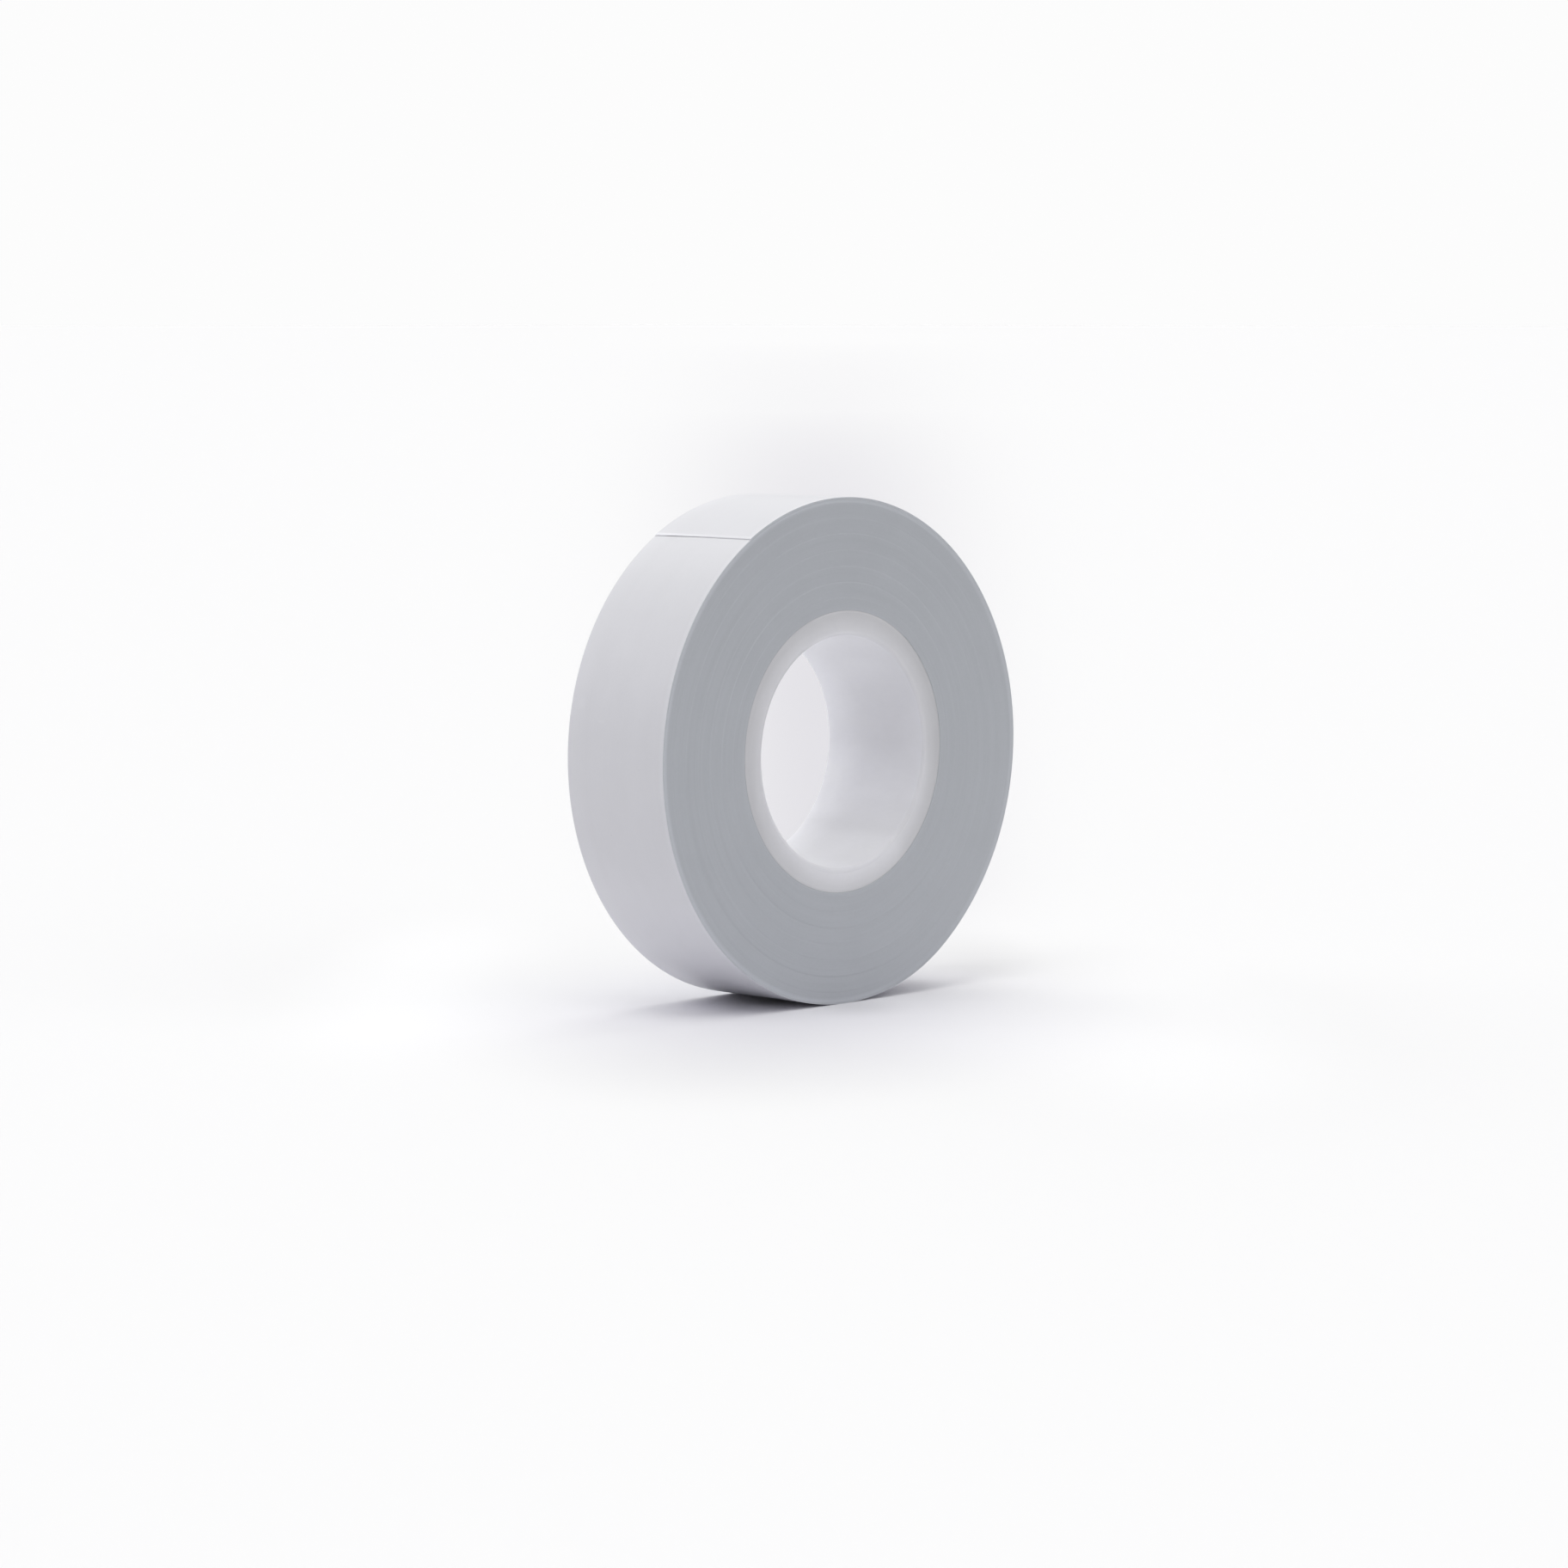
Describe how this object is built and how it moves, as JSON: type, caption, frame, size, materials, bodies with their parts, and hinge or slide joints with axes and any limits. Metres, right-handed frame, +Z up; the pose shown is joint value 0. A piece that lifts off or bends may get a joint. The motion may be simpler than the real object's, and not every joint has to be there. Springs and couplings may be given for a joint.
{
  "type": "pvc tape roll",
  "caption": "Roll of pale grey PVC tape wound on a plastic core, standing on its tread, with a free end that lifts off.",
  "frame": {"origin": "centre of the core's bore, halfway across the tape's width", "axes": "+Y along the roll's axis, away from the front face; +Z up, away from the surface that the tread stands on; +X right as seen from the front"},
  "size_m": [0.0717, 0.019, 0.0719],
  "materials": {
    "core_plastic": "translucent moulded plastic, satin",
    "tape_side": "slit edges of wound film, matte",
    "tape_film": "calendered soft PVC film, satin",
    "tape_adhesive": "clear rubber adhesive, glossy and tacky"
  },
  "bodies": {
    "roll": {"core": "core_plastic", "tape_winding": "tape_side", "outer_turn_film": "tape_film", "outer_turn_adhesive": "tape_adhesive"},
    "tail": {"tail_film": "tape_film", "tail_adhesive": "tape_adhesive"}
  },
  "joints": [
    {"name": "tail_peel", "type": "hinge", "parent": "roll", "child": "tail", "pos_m": [0.00551, 0, 0.03556], "axis": [0, 1, 0], "range_deg": [0, 90]}
  ]
}
